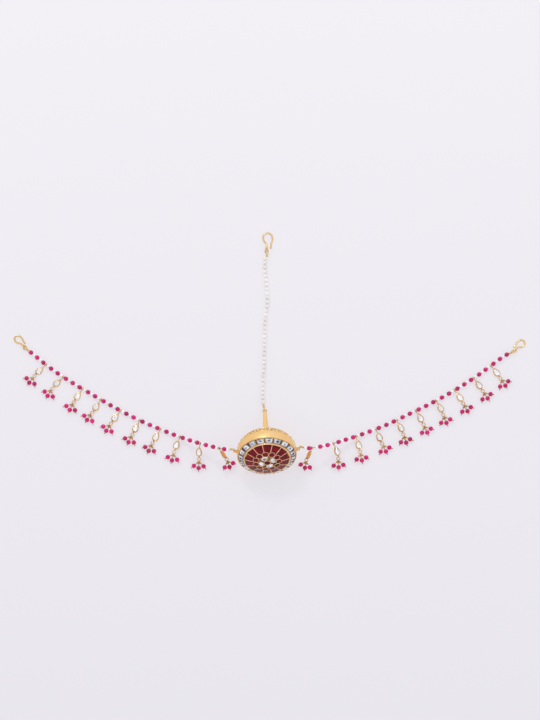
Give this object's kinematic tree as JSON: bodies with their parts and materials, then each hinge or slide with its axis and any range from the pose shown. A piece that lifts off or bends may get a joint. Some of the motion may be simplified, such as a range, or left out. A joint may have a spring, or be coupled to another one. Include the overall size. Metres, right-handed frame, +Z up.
{
  "type": "maang_tikka",
  "caption": "Gold maang tikka: domed pendant set with ruby and clear stones, side strings of ruby beads with small leaf drops and a pearl string, each ending in a wire hook; lying flat.",
  "frame": {"origin": "middle of the jewel's plan, on the table it lies on", "axes": "+X to the right of the face, along the two side strings, +Y towards the top hook, +Z up from the table"},
  "size_m": [0.3328, 0.1616, 0.0365],
  "materials": {
    "gold": "polished",
    "ruby_stone": "polished",
    "clear_stone": "polished",
    "ruby_bead": "polished",
    "pearl": "satin"
  },
  "bodies": {
    "root": {"pendant_body": "gold", "clear_stone_ring": "clear_stone", "ruby_petal_01": "ruby_stone", "ruby_petal_02": "ruby_stone", "ruby_petal_03": "ruby_stone", "ruby_petal_04": "ruby_stone", "ruby_petal_05": "ruby_stone", "ruby_petal_06": "ruby_stone", "ruby_petal_07": "ruby_stone", "ruby_petal_08": "ruby_stone", "ruby_petal_09": "ruby_stone", "ruby_petal_10": "ruby_stone", "ruby_petal_11": "ruby_stone", "ruby_petal_12": "ruby_stone", "ruby_petal_13": "ruby_stone", "ruby_petal_14": "ruby_stone", "ruby_oval_ring": "ruby_stone", "clear_rosette": "clear_stone", "centre_ruby": "ruby_stone", "left_hook": "gold", "right_hook": "gold", "top_hook": "gold", "left_string": "ruby_bead", "left_drop_01": "gold", "left_drop_02": "gold", "left_drop_03": "gold", "left_drop_04": "gold", "left_drop_05": "gold", "left_drop_06": "gold", "left_drop_07": "gold", "left_drop_08": "gold", "left_drop_09": "gold", "left_drop_10": "gold", "right_string": "ruby_bead", "right_drop_01": "gold", "right_drop_02": "gold", "right_drop_03": "gold", "right_drop_04": "gold", "right_drop_05": "gold", "right_drop_06": "gold", "right_drop_07": "gold", "right_drop_08": "gold", "right_drop_09": "gold", "right_drop_10": "gold", "pearl_string": "pearl"}
  },
  "joints": []
}
